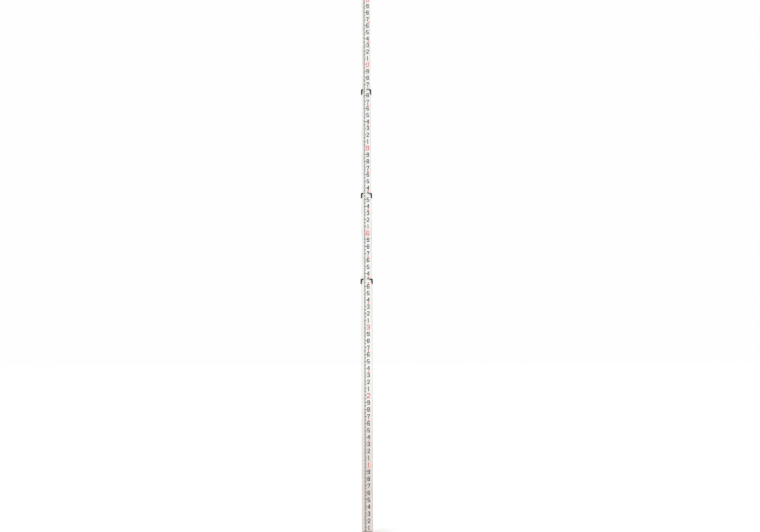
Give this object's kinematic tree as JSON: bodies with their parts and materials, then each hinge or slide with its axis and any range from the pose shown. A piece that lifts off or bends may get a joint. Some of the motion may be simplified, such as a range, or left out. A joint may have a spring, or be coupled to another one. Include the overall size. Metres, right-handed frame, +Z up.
{
  "type": "leveling rod",
  "caption": "Telescoping surveyor's leveling rod: nested rectangular tubes with a graduated front, open-fronted black collars, spring lock buttons and a metal foot.",
  "frame": {"origin": "bottom centre of the foot, where the rod stands on a point", "axes": "+Z up the rod; the graduated front faces -Y; +X is to the right when the graduation is read"},
  "size_m": [0.057, 0.0375, 2.9059],
  "materials": {
    "bare_aluminium": "extruded aluminium, warm grey, satin with fine lengthwise drawing lines; white enamel on the sunk graduated front face",
    "white_enamel": "white baked enamel over extruded aluminium, with printed graduations",
    "black_plastic": "moulded black plastic, fine texture",
    "grey_nylon": "dark grey moulded nylon",
    "red_plastic": "red moulded plastic",
    "orange_insert": "glossy orange-red plastic",
    "bronze_shoe": "dark bronze-brown finish on steel, worn at the edges",
    "rivet_steel": "zinc-plated steel",
    "screw_steel": "zinc-plated steel",
    "spring_steel": "bright spring wire"
  },
  "bodies": {
    "base_section": {"section_tube_1": "bare_aluminium", "foot_shoe": "bronze_shoe", "foot_screw": "screw_steel", "badge_rim": "black_plastic", "badge_insert": "orange_insert", "collar_1": "black_plastic", "collar_rivet_1_left": "rivet_steel", "collar_rivet_1_right": "rivet_steel"},
    "section_2": {"section_tube_2": "white_enamel", "lower_plug_2": "grey_nylon", "plug_screw_2_left": "screw_steel", "plug_screw_2_right": "screw_steel", "lock_spring_2": "spring_steel", "collar_2": "black_plastic", "collar_rivet_2_left": "rivet_steel", "collar_rivet_2_right": "rivet_steel"},
    "section_3": {"section_tube_3": "white_enamel", "lower_plug_3": "grey_nylon", "plug_screw_3_left": "screw_steel", "plug_screw_3_right": "screw_steel", "lock_spring_3": "spring_steel", "collar_3": "black_plastic", "collar_rivet_3_left": "rivet_steel", "collar_rivet_3_right": "rivet_steel"},
    "section_4": {"section_tube_4": "white_enamel", "lower_plug_4": "grey_nylon", "plug_screw_4_left": "screw_steel", "plug_screw_4_right": "screw_steel", "lock_spring_4": "spring_steel", "collar_4": "black_plastic", "collar_rivet_4_left": "rivet_steel", "collar_rivet_4_right": "rivet_steel"},
    "section_5": {"section_tube_5": "white_enamel", "lower_plug_5": "grey_nylon", "plug_screw_5_left": "screw_steel", "plug_screw_5_right": "screw_steel", "lock_spring_5": "spring_steel", "top_cap": "black_plastic", "cap_screw_left": "screw_steel", "cap_screw_right": "screw_steel"},
    "lock_2": {"lock_button_2": "red_plastic"},
    "lock_3": {"lock_button_3": "red_plastic"},
    "lock_4": {"lock_button_4": "red_plastic"},
    "lock_5": {"lock_button_5": "red_plastic"}
  },
  "joints": [
    {"name": "section_2_slide", "type": "slide", "parent": "base_section", "child": "section_2", "axis": [0, 0, 1], "range_m": [-0.3659, 0.4907]},
    {"name": "section_3_slide", "type": "slide", "parent": "section_2", "child": "section_3", "axis": [0, 0, 1], "range_m": [-0.4546, 0.5255]},
    {"name": "section_4_slide", "type": "slide", "parent": "section_3", "child": "section_4", "axis": [0, 0, 1], "range_m": [-0.4616, 0.5282]},
    {"name": "section_5_slide", "type": "slide", "parent": "section_4", "child": "section_5", "axis": [0, 0, 1], "range_m": [-0.4207, 0.4298]},
    {"name": "lock_2_press", "type": "slide", "parent": "section_2", "child": "lock_2", "axis": [0, -1, 0], "range_m": [0, 0.002], "stiffness_N_per_m": 800, "springref_m": -0.004},
    {"name": "lock_3_press", "type": "slide", "parent": "section_3", "child": "lock_3", "axis": [0, -1, 0], "range_m": [0, 0.002], "stiffness_N_per_m": 800, "springref_m": -0.004},
    {"name": "lock_4_press", "type": "slide", "parent": "section_4", "child": "lock_4", "axis": [0, -1, 0], "range_m": [0, 0.002], "stiffness_N_per_m": 800, "springref_m": -0.004},
    {"name": "lock_5_press", "type": "slide", "parent": "section_5", "child": "lock_5", "axis": [0, -1, 0], "range_m": [0, 0.002], "stiffness_N_per_m": 800, "springref_m": -0.004}
  ]
}
